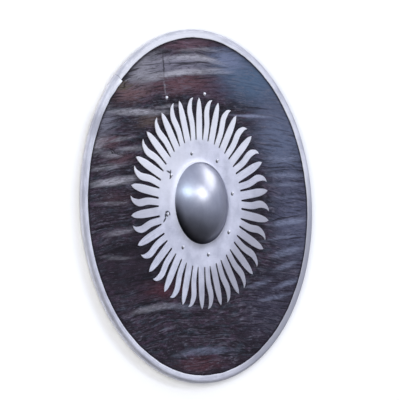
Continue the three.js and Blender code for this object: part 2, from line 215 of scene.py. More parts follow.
class Graph:
    # short calls for a node tree: each takes numbers or values and gives back a value
    def __init__(self, tree):
        self.tree = tree

    def feed(self, made, inputs):
        for key, value in inputs.items():
            if isinstance(value, Value):
                self.tree.links.new(value.socket, made.inputs[key])
            else:
                made.inputs[key].default_value = value
        return made

    def node(self, kind, inputs, out=0, **settings):
        made = self.tree.nodes.new(kind)
        for key, value in settings.items():
            setattr(made, key, value)
        return Value(self, self.feed(made, inputs).outputs[out])

    def named(self, made):
        return {socket.name: Value(self, socket) for socket in made.outputs}

    def calc(self, operation, *values):
        return self.node("ShaderNodeMath", dict(enumerate(values)), operation=operation)

    def strongest(self, first, *others):
        for other in others:
            first = self.calc("MAXIMUM", first, other)
        return first

    def vector(self, operation, *values):
        out = 1 if operation == "LENGTH" else 0
        return self.node("ShaderNodeVectorMath", dict(enumerate(values)), out, operation=operation)

    def scaled(self, at, scales):
        return self.vector("MULTIPLY", at, scales)

    def ramp(self, value, low, high, outLow=0.0, outHigh=1.0):
        names = {"Value": value, "From Min": low, "From Max": high, "To Min": outLow, "To Max": outHigh}
        return self.node("ShaderNodeMapRange", names, interpolation_type="SMOOTHSTEP")

    def blend(self, share, a, b):
        return self.node("ShaderNodeMix", {0: share, 6: a, 7: b}, 2, data_type="RGBA")

    def layers(self, colour, finish, shares):
        # lays tones of a finish over a colour in turn, each by its own share
        for tone, share in shares:
            colour = self.blend(share, colour, finish[tone])
        return colour

    def noise(self, at, detail=4.0, roughness=0.6, scale=1.0, out=0):
        names = {"Vector": at, "Scale": scale, "Detail": detail, "Roughness": roughness}
        return self.node("ShaderNodeTexNoise", names, out)

    def coat(self, shader, finish, colour, roughBy, relief):
        # a finish's colour, its roughness between two values, and its relief by strength and millimetres
        rough = self.ramp(roughBy, 0.35, 0.65, *finish["roughness"])
        strength, depth = finish["relief"]
        names = {"Strength": strength, "Distance": depth * toMetres, "Height": relief}
        bump = self.node("ShaderNodeBump", names)
        self.feed(shader, {"Base Color": colour, "Roughness": rough, "Normal": bump})

    def split(self, vector):
        return self.named(self.feed(self.tree.nodes.new("ShaderNodeSeparateXYZ"), {0: vector})).values()

    def join(self, x, y, z=0.0):
        return self.node("ShaderNodeCombineXYZ", {0: x, 1: y, 2: z})

    def millimetres(self):
        return self.scaled(self.node("ShaderNodeTexCoord", {}, 3), (1 / toMetres,) * 3)

    def group(self, tree, inputs):
        made = self.tree.nodes.new("ShaderNodeGroup")
        made.node_tree = tree
        return self.named(self.feed(made, inputs))


def newGroup(name, inputs, outputs):
    tree = bpy.data.node_groups.new(name, "ShaderNodeTree")
    for key, value in inputs.items():
        kind = "NodeSocketVector" if isinstance(value, tuple) else "NodeSocketFloat"
        tree.interface.new_socket(key, in_out="INPUT", socket_type=kind).default_value = value
    for key in outputs:
        tree.interface.new_socket(key, in_out="OUTPUT", socket_type="NodeSocketFloat")
    g = Graph(tree)
    return g, g.named(tree.nodes.new("NodeGroupInput")), tree.nodes.new("NodeGroupOutput")


def newMaterial(name, **fixed):
    # a material of one Principled shader; fixed holds the sockets that are the same all over
    material = bpy.data.materials.new(name)
    material.use_nodes = True
    tree = material.node_tree
    tree.nodes.clear()
    shader = tree.nodes.new("ShaderNodeBsdfPrincipled")
    for key, value in fixed.items():
        shader.inputs[key.replace("_", " ")].default_value = value
    output = tree.nodes.new("ShaderNodeOutputMaterial")
    tree.links.new(shader.outputs[0], output.inputs[0])
    return material, Graph(tree), shader


# Effects that several finishes share

def buildSheetMarks():
    # marks of worked sheet, each from 0 to 1: soft blotches, brushed lines, crossing scratches, small specks
    g, given, result = newGroup(
        "sheetMarks", {"Place": (0.0, 0.0, 0.0), "Brushing": (0.0, 0.0, 0.0), "Blotch Size": 30.0},
        ["Blotch", "Lines", "Scratches", "Specks"],
    )
    place, size = given["Place"], given["Blotch Size"]
    scratches = []
    for turn in (0.35, 1.9, 2.6):
        names = {"Vector": place, "Rotation": (0, 0, turn), "Scale": (0.03, 0.9, 0.3)}
        scratches.append(g.ramp(g.noise(g.node("ShaderNodeMapping", names), 2.0, 0.5), 0.7, 0.76))
    g.feed(result, {
        "Blotch": g.noise(g.vector("DIVIDE", place, g.join(size, size, size)), 5.0),
        "Lines": g.noise(given["Brushing"]),
        "Scratches": g.strongest(*scratches),
        "Specks": g.ramp(g.noise(place, 2.0, 0.5, 0.33), 0.68, 0.76),
    })
    return g.tree


def buildSoftStreak():
    # a turned streak, 1 in its middle and 0 at its edge, bowed down by Arch millimetres at 100 mm along it
    g, given, result = newGroup(
        "softStreak",
        {"Place": (0.0, 0.0, 0.0), "Middle": (0.0, 0.0, 0.0), "Turn": 0.0, "Half Length": 50.0,
         "Half Width": 4.0, "Arch": 0.0, "Core": 0.2},
        ["Mask"],
    )
    away = g.vector("SUBTRACT", given["Place"], given["Middle"])
    names = {"Vector": away, "Axis": (0.0, 0.0, 1.0), "Angle": given["Turn"]}
    x, y, _ = g.split(g.node("ShaderNodeVectorRotate", names))
    across = y + x * x * (given["Arch"] / 100**2)
    reach = g.vector("LENGTH", g.join(x / given["Half Length"], across / given["Half Width"]))
    g.feed(result, {"Mask": g.ramp(reach, 1.0, given["Core"])})
    return g.tree


sheetMarks = buildSheetMarks()
softStreak = buildSoftStreak()


def streakMask(g, place, middle, size, turn=0.0, arch=0.0, core=0.2):
    return g.group(softStreak, {
        "Place": place, "Middle": (*middle, 0.0), "Turn": -math.radians(turn), "Half Length": size[0],
        "Half Width": size[1], "Arch": arch, "Core": core,
    })["Mask"]


def polarPlace(g, place, centre):
    # place round the centre: the x and y of its unit direction, and its radius
    x, y, _ = g.split(g.vector("SUBTRACT", place, (*centre, 0.0)))
    flat = g.join(x, y)
    dx, dy, _ = g.split(g.vector("NORMALIZE", flat))
    return dx, dy, g.vector("LENGTH", flat)


# Wood: dark stain and varnish with warm and cool patches, pale fibres, and haze that is partly worn varnish;
# the blue-grey patches and the blue of the haze to the right are painted sky reflection, and the slots and
# the rim's inner edge get painted shade

woodFinish = {
    "grainBow": 0.00022,        # the grain bends down by this times the square of x
    # what breaks up soft shapes: the size of its noise, then how far it moves patches and streaks, and the
    # part of that by which it moves what lies across the grain
    "raggedSize": (42, 7),
    "patchDrift": (70.0, 26.0, 0.0),
    "streakDrift": (30.0, 5.5, 0.0),
    "uprightDrift": (0.25, 1.0, 0.0),
    "deep": (0.006, 0.004, 0.007, 1),
    "stain": (0.022, 0.014, 0.022, 1),
    "fibre": (0.145, 0.138, 0.180, 1),
    "violet": (0.062, 0.036, 0.064, 1),
    "slate": (0.030, 0.042, 0.058, 1),
    "haze": (0.34, 0.335, 0.385, 1),
    # the streaks' tone towards the right: a painted sky reflection
    "coolReflectedHaze": (0.21, 0.235, 0.34, 1),
    # near black, for the cracks, the dark marks and the painted shadow under the rim's lifted end
    "crackAndShadow": (0.003, 0.002, 0.003, 1),
    "roughness": (0.34, 0.62),
    "relief": (0.55, 0.9),      # strength, and depth in millimetres
    "wholeStain": ((-175, -95), (150, 90), 0),      # where the stain is least worn
    "smooth": ((165, 195), (175, 125), -35),        # where the varnish still fills the grain
    # both ends of each crack, for its colour and its groove
    "cracks": [
        ((178.8, -33.5), (231.3, -26.6)),
        ((-296.7, -33.4), (-231.8, -25.6)),
        ((-244.6, 107.1), (-184.0, 88.5)),
    ],
    "crackWidth": 1.1,
    # violet and slate clouds in the stain: tone, length, width, seed
    "clouds": [("violet", 26, 9, 11.5), ("slate", 32, 8, 14.9)],
    # middle, half length and half width, turn, colour, strength
    "patches": [
        ((-25, 212), (150, 24), 1, (0.104, 0.050, 0.062, 1), 1.0),
        ((-165, 199), (80, 27), 4, (0.125, 0.072, 0.080, 1), 1.0),
        ((-122, 151), (52, 17), 4, (0.078, 0.055, 0.050, 1), 0.9),
        ((-190, 213), (34, 16), 0, (0.085, 0.068, 0.045, 1), 0.9),
        ((-85, -138), (105, 26), 0, (0.055, 0.014, 0.022, 1), 1.0),
        ((-20, -272), (90, 22), 0, (0.058, 0.022, 0.030, 1), 1.0),
        ((-205, 86), (62, 14), 0, (0.078, 0.040, 0.052, 1), 0.9),
        ((-232, 118), (60, 18), 0, (0.100, 0.055, 0.070, 1), 0.8),
        ((-215, 22), (75, 14), 0, (0.042, 0.022, 0.029, 1), 0.8),
        ((60, 200), (90, 30), 0, (0.060, 0.030, 0.050, 1), 0.7),
        ((-236, 150), (46, 32), 12, (0.150, 0.150, 0.195, 1), 0.9),
        ((-122, 242), (66, 44), 10, (0.230, 0.225, 0.265, 1), 1.0),
        ((-20, 280), (130, 16), 0, (0.115, 0.062, 0.085, 1), 0.9),
        ((-30, 247), (125, 24), 0, (0.200, 0.192, 0.250, 1), 0.95),
        # this patch, the next two and the one at (95, 250) are blue-grey painted sky reflection in the
        # varnish
        ((150, 215), (150, 66), -14, (0.068, 0.108, 0.180, 1), 1.0),
        ((225, 110), (125, 95), -60, (0.096, 0.116, 0.185, 1), 1.0),
        ((255, -30), (100, 140), 0, (0.070, 0.076, 0.125, 1), 1.0),
        ((180, -170), (130, 80), 30, (0.034, 0.031, 0.052, 1), 0.9),
        ((95, 250), (75, 28), -10, (0.140, 0.165, 0.260, 1), 1.0),
    ],
    # middle, half length and half width, turn, arch, strength
    "streaks": [
        ((0, 257), (130, 8), -3.3, 12.8, 0.95), ((60, 232), (70, 8), -3.0, 4.0, 0.7),
        ((-40, 231), (150, 8.0), 3.2, 6.5, 1.0), ((20, 270), (90, 5), -2.0, 9.0, 0.4),
        ((-150, 166), (118, 9.0), -2.0, 0.0, 0.85), ((-70, 174), (60, 5), 4.0, 3.0, 0.4),
        ((-218, 50), (95, 10), 3.3, 0.0, 0.95), ((-240, 74), (60, 8), 3.0, 0.0, 0.5),
        ((-170, 104), (60, 6.5), 0.0, 0.0, 0.55), ((-200, 121), (60, 5), 5.0, 0.0, 0.4),
        ((150, 152), (75, 4.5), -3.0, 0.0, 0.8), ((236, 75), (70, 9), 0.0, 0.0, 0.5),
        ((240, 46), (70, 7), -2.0, 0.0, 0.5), ((238, 30), (60, 5), 0.0, 0.0, 0.45),
        ((230, 8), (60, 5), 2.0, 0.0, 0.25), ((238, -36), (75, 8), 3.0, 0.0, 0.75),
        ((215, -62), (60, 5), 3.0, 0.0, 0.4), ((225, -88), (60, 9), 8.0, 0.0, 0.6),
        ((150, -139), (50, 6), 8.0, 0.0, 0.5), ((222, -112), (55, 7), 10.0, 0.0, 0.5),
        ((225, -142), (55, 7), 10.0, 0.0, 0.6), ((190, -165), (75, 6), 5.0, 0.0, 0.4),
        ((-112, -168), (120, 8.5), 1.5, 9.0, 0.5), ((-8, -249), (110, 10), 0.0, 6.0, 0.42),
        ((-214, -37), (60, 7), 5.0, 0.0, 0.42), ((-250, 175), (50, 5), 6.0, 0.0, 0.5),
        ((-77, 206), (18, 3.6), 98.0, 0.0, 0.42), ((-175, 222), (11, 1.3), 28.0, 0.0, 1.0),
        ((-262, 112), (44, 20), 20.0, 0.0, 0.55), ((-222, 96), (42, 9), 0.0, 0.0, 0.5),
        ((-150, 226), (50, 7), 12.0, 0.0, 0.35), ((-230, 13), (60, 5), 0.0, 0.0, 0.3),
        ((-225, -80), (60, 5), -4.0, 0.0, 0.25),
    ],
    # dark marks: middle, half length and half width, turn; the two near (-180, 215) are painted shadow under
    # the rim's lifted end
    "darksAndShadows": [
        ((-77, 246), (30, 2.8), 91), ((-180, 213), (15, 2.2), 32),
        ((-183, 222), (10, 1.6), 36), ((-215, 101), (42, 2.0), -19),
        ((-240, 76), (46, 1.8), 4), ((-205, 128), (40, 1.8), -6),
        ((235, -28), (60, 1.8), 6), ((160, 166), (60, 1.8), -4),
        ((215, 60), (62, 1.8), 0), ((-20, 248), (110, 2.2), 0),
    ],
}


def makeWoodLook():
    look, g, shader = newMaterial("darkWood", Specular_IOR_Level=0.13)
    place = g.millimetres()
    x, y, z = g.split(place)
    lean = (g.noise(g.scaled(place, (0.006, 0.011, 0.0)), 2.0, 0.5) - 0.5) * 34.0
    across = y + lean + x * x * woodFinish["grainBow"]
    front = g.ramp(z, midLevel - 2, midLevel + 2)

    def fibres(length, width, seed, detail=4.0, roughness=0.6):
        return g.noise(g.join(x / length, across / width, seed), detail, roughness)

    broad, middle, fine = fibres(150, 17, 1.3), fibres(70, 4.2, 5.1), fibres(34, 1.5, 8.7, 3.0)
    worn = g.noise(g.scaled(place, (0.018, 0.03, 0.02)))
    colour = g.blend(g.ramp(broad, 0.34, 0.64), woodFinish["deep"], woodFinish["stain"])

    # small clouds of other tones, fewer where the stain is whole
    whole = streakMask(g, place, *woodFinish["wholeStain"])
    clouded = front * (1.0 - whole * 0.65)
    for tone, length, width, seed in woodFinish["clouds"]:
        cloud = g.ramp(fibres(length, width, seed, 5.0, 0.7), 0.49, 0.62, 0.0, 0.6)
        colour = g.blend(cloud * clouded, colour, woodFinish[tone])

    # patches, their edges broken up by moving the place a little; the blue-grey ones on the right are painted
    # sky reflection in the varnish
    length, width = woodFinish["raggedSize"]
    ragged = g.noise(g.join(x / length, across / width), out=1)
    drift = g.vector("SUBTRACT", ragged, (0.5, 0.5, 0.5))
    moved = g.vector("ADD", place, g.scaled(drift, woodFinish["patchDrift"]))
    for spot, size, turn, tone, strength in woodFinish["patches"]:
        share = streakMask(g, moved, spot, size, turn, core=0.1) * strength * front
        colour = g.blend(share, colour, tone)

    # pale fibres and scuffs, fewer where the stain is whole, with dark fibres and pits over them
    scuffs = fibres(11, 2.6, 6.3, 5.0, 0.75)
    mottle = g.noise(g.scaled(place, (0.05, 0.085, 0.1)), 5.0, 0.7)
    pale = g.ramp(middle, 0.50, 0.68) * g.ramp(worn, 0.34, 0.60, 0.1, 1.0)
    scratchy = g.ramp(fine, 0.54, 0.70) * g.ramp(worn, 0.44, 0.62, 0.1, 1.0)
    scuffed = g.ramp(scuffs, 0.50, 0.72) * g.ramp(mottle, 0.40, 0.62, 0.25, 1.0)
    pale = g.strongest(pale * 0.55, scratchy * 0.8) * g.ramp(mottle, 0.36, 0.58, 0.2, 1.0)
    pale = g.strongest(pale, scuffed) * (1.0 - whole * 0.75)
    pits = g.ramp(scuffs, 0.50, 0.34) * g.ramp(mottle, 0.62, 0.40, 0.45, 1.0)
    filled = 1.0 - streakMask(g, place, *woodFinish["smooth"], core=0.3) * 0.6
    darkLines = g.strongest(g.ramp(fibres(60, 3.0, 3.9), 0.50, 0.34), pits) * filled
    colour = g.layers(colour, woodFinish, [("fibre", pale), ("deep", darkLines * 0.8)])

    # hazy streaks, broken by the fibres: partly worn varnish and partly painted reflection in the varnish,
    # turning blue towards the right as painted sky reflection
    nudge = g.scaled(drift, woodFinish["streakDrift"])
    nudged = g.vector("ADD", place, nudge)
    upright = g.vector("ADD", place, g.scaled(nudge, woodFinish["uprightDrift"]))

    def mark(spot, size, turn, arch=0.0, core=0.2):
        return streakMask(g, upright if abs(turn) > 45 else nudged, spot, size, turn, arch, core)

    streaks = [mark(*shape, core=0.15) * strength for *shape, strength in woodFinish["streaks"]]
    broken = g.ramp(middle * 0.4 + scuffs * 0.6, 0.38, 0.60, 0.35, 1.0)
    hazeAndReflectionTone = g.blend(g.ramp(x - y * 0.4, -80, 60), woodFinish["haze"], woodFinish["coolReflectedHaze"])
    colour = g.blend(g.strongest(*streaks) * broken * front, colour, hazeAndReflectionTone)
    specks = g.ramp(g.noise(g.scaled(place, (0.22, 0.55, 0.4)), 3.0), 0.70, 0.76) * g.ramp(worn, 0.5, 0.62)
    colour = g.blend(specks * 0.5, colour, woodFinish["haze"])

    # painted shade in the slots between the rays and along the rim's inner edge, then dark marks, painted
    # shadow under the rim's lifted end, and the cracks
    _, _, fromSun = polarPlace(g, place, sunCentre)
    _, _, fromMiddle = polarPlace(g, place, (0, 0))
    paintedShade = g.strongest(g.ramp(fromSun, 180, 165, 0, 0.55), g.ramp(fromMiddle, 284, 291, 0, 0.85))
    darksAndShadows = g.strongest(*[mark(*shape) for shape in woodFinish["darksAndShadows"]]) * 0.8
    for (x0, y0), (x1, y1) in woodFinish["cracks"]:
        turn = math.degrees(math.atan2(y1 - y0, x1 - x0))
        size = (math.hypot(x1 - x0, y1 - y0) / 2, woodFinish["crackWidth"])
        darksAndShadows = g.strongest(darksAndShadows, mark(((x0 + x1) / 2, (y0 + y1) / 2), size, turn, core=0.3))
    colour = g.layers(colour, woodFinish, [("deep", paintedShade * front), ("crackAndShadow", darksAndShadows * front * 0.9)])
    relief = (middle * 0.6 + fine * 0.4 - darkLines * 0.25) * filled
    g.coat(shader, woodFinish, colour, worn * 0.5 + middle * 0.5, relief)
    return look


woodLook = makeWoodLook()


# Steel: brushed sheet for the rim and the sun, a smoother dome, plain nails

def steelMarks(g, place, brushing, finish):
    return g.group(sheetMarks, {"Place": place, "Brushing": brushing, "Blotch Size": finish["blotchSize"]})


def steelColour(g, marks, tones, lineShare=1.0):
    # dark and light tones of one steel by its blotches and lines, then specks and scratches
    dark, light, mark = tones
    share = marks["Blotch"] * 0.55 + (marks["Lines"] - 0.5) * lineShare * 0.45 + 0.225
    spots = g.strongest(marks["Specks"], marks["Scratches"] * 0.5) * 0.55
    return g.blend(spots, g.blend(g.ramp(share, 0.34, 0.62), dark, light), mark)


nailCircle = {"count": 8, "phase": -9.8, "radius": 88.9}
nailAngles = [nailCircle["phase"] + 360 / nailCircle["count"] * i for i in range(nailCircle["count"])]
nailPlaces = [polar(nailCircle["radius"], angle, sunCentre) for angle in nailAngles]

sunFinish = {
    "tones": [(0.62, 0.63, 0.72, 1), (0.86, 0.865, 0.955, 1), (0.40, 0.40, 0.46, 1)],
    # painted highlight, for the upper left and the top of the rays
    "bright": (0.97, 0.97, 1.0, 1),
    # for painted shade on the lower right rays and a darker area on the left
    "darkTone": (0.44, 0.43, 0.48, 1),
    # near black, for the dents and the painted shadow by each nail
    "dentAndShadow": (0.018, 0.017, 0.028, 1),
    "roughness": (0.46, 0.64),
    "relief": (0.35, 0.8),
    "blotchSize": 26.0,
    "raysFrom": 111.0,
    # areas and dents: middle, half length and half width, turn; the first area is painted sheen on the upper
    # left, the second a darker area on the left
    "paintedSheen": ((-62, 62), (125, 95), 40),
    "darkerLeft": ((-165, 0), (80, 75), 0),
    # painted shadow beside each nail head
    "nailShadow": ((-1.5, -1.3), (4.6, 3.9), 40),     # its middle from the nail's
    "dents": [
        ((-79.0, 61.5), (8.5, 2.2), -20), ((-75.0, 61.0), (5.5, 2.0), 72),
        ((-75.5, 52.5), (5.5, 2.2), 50), ((-96.5, -20.0), (7.5, 2.3), 45),
        ((-94.0, -12.5), (6.0, 2.5), 85), ((-89.5, -6.6), (6.3, 2.4), 8),
        ((-83.2, -9.5), (4.6, 2.0), -72),
    ],
}


def makeSunLook():
    look, g, shader = newMaterial("sunSteel", Metallic=0.72)
    place = g.millimetres()
    x, y, _ = g.split(place)
    dx, dy, radius = polarPlace(g, place, sunCentre)
    brushing = g.join(dx * 95, dy * 95, radius / 34)
    marks = steelMarks(g, place, brushing, sunFinish)
    onRays = g.ramp(radius, sunFinish["raysFrom"] - 8, sunFinish["raysFrom"] + 8)

    # painted shadow below and left of each nail, and short dark dents
    (right, up), size, turn = sunFinish["nailShadow"]
    dents = [streakMask(g, place, (px + right, py + up), size, turn, core=0.55) for px, py in nailPlaces]
    dents += [streakMask(g, place, *dent, core=0.45) for dent in sunFinish["dents"]]
    dentsAndNailShadows = g.strongest(*dents)
    # painted sheen on the upper left and painted highlight on the top of the rays, painted shade on the lower
    # right rays, a darker area on the left, then the dents and the painted shadows by the nails
    colour = g.layers(steelColour(g, marks, sunFinish["tones"], onRays), sunFinish, [
        ("bright", streakMask(g, place, *sunFinish["paintedSheen"], core=0.0) * 0.55),
        ("bright", g.ramp(y - x * 0.25, -20, 130, 0.0, 0.9) * onRays),
        ("darkTone", g.ramp(x - y, 70, 200, 0.0, 0.75) * onRays),
        ("darkTone", streakMask(g, place, *sunFinish["darkerLeft"]) * 0.4 * onRays),
        ("dentAndShadow", dentsAndNailShadows * 0.96),
    ])
    relief = marks["Lines"] * onRays * 0.35 + marks["Blotch"] * 0.65 - dentsAndNailShadows * 0.3
    g.coat(shader, sunFinish, colour, marks["Blotch"], relief)
    return look


rimFinish = {
    "tones": [(0.58, 0.58, 0.65, 1), (0.86, 0.86, 0.93, 1), (0.36, 0.35, 0.40, 1)],
    "bright": (0.97, 0.97, 1.0, 1),     # painted highlight, along the inner edge and at the top
    "gap": (0.05, 0.05, 0.06, 1),       # shadow line where the outer end stops
    # darker steel on the rounded outer part and near the lap, and painted shade towards the lower right
    "greyAndShade": (0.38, 0.38, 0.43, 1),
    "roughness": (0.48, 0.66),
    "relief": (0.3, 0.8),
    "blotchSize": 34.0,
    "cutAngle": -40.85,
    "faceMiddle": 299.0,
    "cutSize": (10.5, 1.0),
    "innerEdge": (296.5, 292.0),        # from plain to painted highlight
    "outerEdge": (297.0, 302.5),        # from plain to darker
    "corner": (-60, (55, 28), 30),      # a darker area: its angle, half length and half width, turn
}


def makeRimLook():
    look, g, shader = newMaterial("rimSteel", Metallic=0.65)
    place = g.millimetres()
    x, y, z = g.split(place)
    dx, dy, radius = polarPlace(g, place, (0, 0))
    brushing = g.join(dx * 7, dy * 7, (radius + z) / 1.8)
    marks = steelMarks(g, place, brushing, rimFinish)
    worn = g.noise(g.scaled(place, (0.03, 0.03, 0.05)), 5.0, 0.65)
    edge = g.ramp(radius, *rimFinish["innerEdge"]) * g.ramp(worn, 0.35, 0.55, 0.3, 1.0)
    outside = g.ramp(radius, *rimFinish["outerEdge"]) * g.ramp(worn, 0.3, 0.6, 0.45, 0.9)
    middle, cutAngle = rimFinish["faceMiddle"], rimFinish["cutAngle"]
    cut = streakMask(g, place, polar(middle, cutAngle), rimFinish["cutSize"], 90 - cutAngle, core=0.5)
    angle, size, turn = rimFinish["corner"]
    corner = streakMask(g, place, polar(middle, angle), size, turn)
    # painted highlight along the inner edge and at the top, darker on the rounded outer part and near the
    # lap, painted shade towards the lower right, and the painted shadow line at the lap's cut
    colour = g.layers(steelColour(g, marks, rimFinish["tones"]), rimFinish, [
        ("bright", edge * 0.7),
        ("bright", g.ramp(y - x * 0.35, 200, 310, 0.0, 0.85)),
        ("greyAndShade", outside * 0.75),
        ("greyAndShade", corner * 0.55),
        ("greyAndShade", g.ramp(x - y * 0.7, 230, 340, 0.0, 0.8)),
        ("gap", cut * 0.8),
    ])
    g.coat(shader, rimFinish, colour, marks["Blotch"], marks["Lines"] * 0.4 + marks["Blotch"] * 0.6)
    return look


bossFinish = {
    "tones": [(0.54, 0.55, 0.61, 1), (0.62, 0.63, 0.69, 1), (0.40, 0.40, 0.44, 1)],
    "paintedDarkReflection": (0.07, 0.07, 0.08, 1),   # painted dark reflection, low on the dome where it comes out of the sun
    "darkReflectionFrom": (57.0, 70.0),        # radii at which it begins and is full
    "darkReflectionLevel": (-5.0, -45.0),      # and heights on the face
    "roughness": (0.305, 0.325),
    "relief": (0.05, 0.4),
    "blotchSize": 24.0,
}


def makeBossLook():
    look, g, shader = newMaterial("bossSteel", Metallic=1.0, Specular_Tint=(0.52, 0.52, 0.58, 1))
    place = g.millimetres()
    x, y, _ = g.split(place)
    brushing = g.scaled(place, (0.33, 0.022, 0.02))
    marks = steelMarks(g, place, brushing, bossFinish)
    dark, light, mark = bossFinish["tones"]
    colour = g.blend(g.ramp(marks["Blotch"] * 0.85 + marks["Lines"] * 0.15, 0.35, 0.65), dark, light)
    colour = g.blend(marks["Scratches"] * 0.1, colour, mark)
    _, _, radius = polarPlace(g, place, sunCentre)
    # painted dark reflection low on the dome, strongest at its bottom and near its foot
    lower = g.ramp(y - g.calc("ABSOLUTE", x) * 0.45, *bossFinish["darkReflectionLevel"], 0.12, 1.0)
    colour = g.blend(g.ramp(radius, *bossFinish["darkReflectionFrom"]) * lower, colour, bossFinish["paintedDarkReflection"])
    g.coat(shader, bossFinish, colour, marks["Lines"], marks["Blotch"])
    return look


nailFinish = {
    "tones": [(0.78, 0.78, 0.83, 1), (0.96, 0.96, 1.0, 1), (0.45, 0.44, 0.46, 1)],
    "roughness": (0.24, 0.38),
    "relief": (0.2, 0.3),
    "blotchSize": 3.0,
}


def makeNailLook():
    look, g, shader = newMaterial("nailSteel", Metallic=0.7)
    place = g.millimetres()
    brushing = g.scaled(place, (0.9, 0.9, 0.9))
    marks = steelMarks(g, place, brushing, nailFinish)
    g.coat(shader, nailFinish, steelColour(g, marks, nailFinish["tones"]), marks["Blotch"], marks["Blotch"])
    return look


plateLook, rimLook, bossLook, nailLook = makeSunLook(), makeRimLook(), makeBossLook(), makeNailLook()


# Leather: dark brown and grained, paler along its creases and dark in its pores

leatherFinish = {
    "dark": (0.030, 0.014, 0.008, 1),
    "brown": (0.085, 0.040, 0.020, 1),
    "worn": (0.17, 0.095, 0.052, 1),
    "roughness": (0.48, 0.68),
    "relief": (0.5, 0.5),
    "poreSize": 1.1,
}


def makeLeatherLook():
    look, g, shader = newMaterial("strapLeather", Specular_IOR_Level=0.4)
    place = g.millimetres()
    blotch = g.noise(place, 5.0, 0.6, 0.045)
    pores = g.node("ShaderNodeTexVoronoi", {"Vector": place, "Scale": 1 / leatherFinish["poreSize"]})
    creases = g.noise(g.scaled(place, (0.5, 0.12, 0.3)))
    colour = g.blend(g.ramp(blotch, 0.35, 0.65), leatherFinish["dark"], leatherFinish["brown"])
    colour = g.layers(colour, leatherFinish, [
        ("worn", g.ramp(creases, 0.58, 0.74, 0, 0.55)),
        ("dark", g.ramp(pores, 0.15, 0.0, 0, 0.4)),
    ])
    g.coat(shader, leatherFinish, colour, blotch, pores * 0.5 + creases * 0.6)
    return look


leatherLook = makeLeatherLook()
print("finishes made")


# Board: one round of wood with a half-round edge, its rows of points lying along the grain

board = {
    "rows": 600,
    "faceColumns": 96,
    "backColumns": 40,
    "edgeSteps": 9,
    "edgeRadius": (faceLevel - backLevel) / 2,
    "grainDepth": 0.3,
    "grainLength": 85.0,
    "grainWidth": 2.7,
    "seatRadius": 98.2,         # the boss's flange lies in a shallow seat
    "seatDepth": 1.8,
    "seatSlope": 5.0,
    "crackDepth": 1.3,
    "crackWander": 0.9,
    "rimInset": 1.3,            # from the rim's outside to the wood
    "plainEdge": 6.0,           # the grain fades out over this width
}


def crackShare(x, y):
    # 1 on the line of a crack, falling to 0 at its width; a crack thins out towards both ends
    share = np.zeros_like(x)
    for (x0, y0), (x1, y1) in woodFinish["cracks"]:
        along = np.clip((x - x0) / (x1 - x0), 0, 1)
        bulge = 4 * along * (1 - along)
        wander = board["crackWander"] * np.sin(along * 7 + x0) * bulge
        away = np.abs(y - (y0 + (y1 - y0) * along + wander))
        width = woodFinish["crackWidth"] * np.sqrt(np.clip(bulge, 0, 1)) + 1e-6
        inside = (x > min(x0, x1)) & (x < max(x0, x1))
        share = np.maximum(share, np.where(inside, np.clip(1 - away / width, 0, 1), 0))
    return share


def grainRelief(x, y, seed):
    # fine grooves along X from two layers of stretched noise, from -1 to 0
    along = x / board["grainLength"]
    across = (y + woodFinish["grainBow"] * x**2) / board["grainWidth"]
    coarse = softNoise(along, across, seed)
    fine = softNoise(along * 2.1, across * 2.3, seed + 1)
    return (coarse * 0.6 + fine * 0.4 - 1) / 2


def makeBoard():
    # row v is at y = R sin v, and its half width is R cos v; along it run the face, one half-round edge, the
    # back and the other edge
    v = np.radians(np.linspace(-90, 90, board["rows"]))[:, None]
    flat = shieldRadius - board["rimInset"] - board["edgeRadius"]
    face = np.linspace(-1, 1, board["faceColumns"])
    back = np.linspace(1, -1, board["backColumns"])
    turn = np.radians(np.linspace(90, -90, board["edgeSteps"] + 2)[1:-1])
    out = flat + board["edgeRadius"] * np.cos(turn)
    edgeZ = midLevel + board["edgeRadius"] * np.sin(turn)
    x = np.concatenate([flat * face, out, flat * back, -out[::-1]])
    reach = np.concatenate([flat + 0 * face, out, flat + 0 * back, out[::-1]])
    z = np.concatenate([faceLevel + 0 * face, edgeZ, backLevel + 0 * back, edgeZ[::-1]])
    x, y = x * np.cos(v), reach * np.sin(v)
    z = np.broadcast_to(z, x.shape).copy()
    onFace = slice(0, len(face))
    onBack = slice(len(face) + len(turn), len(face) + len(turn) + len(back))
    inward = smoothStep(flat - np.hypot(x, y), 0, board["plainEdge"])
    z[:, onFace] += (board["grainDepth"] * grainRelief(x, y, 3) * inward)[:, onFace]
    z[:, onFace] -= (board["crackDepth"] * crackShare(x, y) * inward)[:, onFace]
    z[:, onBack] -= (board["grainDepth"] * grainRelief(x, y, 9) * inward)[:, onBack]
    seat = 1 - smoothStep(fromSunCentre(x, y), board["seatRadius"], board["seatRadius"] + board["seatSlope"])
    z[:, onFace] -= (board["seatDepth"] * seat)[:, onFace]
    return pointsAt(x, y, z), gridFaces(*x.shape)


addPiece("woodenBoard", *makeBoard(), woodLook, "wood", ["board"], sharpAngle=60)


# Rim: one steel strip folded over the board's edge, its outer end riding over its inner one

rim = {
    "wall": 1.0,
    "faceWidth": 14.0,
    "lapAngle": -41.0,          # where the outer end shows
    "lapLength": 45.0,
    "lapRise": 0.5,             # the share of that length in which it climbs
    "lapOverhang": 1.6,
    "lapLift": 1.03,            # how far it climbs, in thicknesses
    "lapSteps": 40,
    "edgeWander": 0.45,
    "wanderSteps": (4.1, 1.3),  # degrees
    "wanderLimit": 0.3,
    "edgeShift": 1.4,           # the strip was folded a little off centre
    "crimp": 0.22,              # the inner edges are pressed this much towards the wood
    "cornerLift": 2.0,
    "cornerLength": 16.0,
    "cornerDepth": 6.0,
    "waveHeight": 0.12,
    "waveSize": (3.3, 6.0),     # degrees along the strip, millimetres across it
    "step": 0.7,                # degrees
    "legSteps": 6,
    "foldSteps": 15,
    "endSteps": (0, 0.06, 0.2, 0.5),    # in thicknesses, where both ends are rounded
}


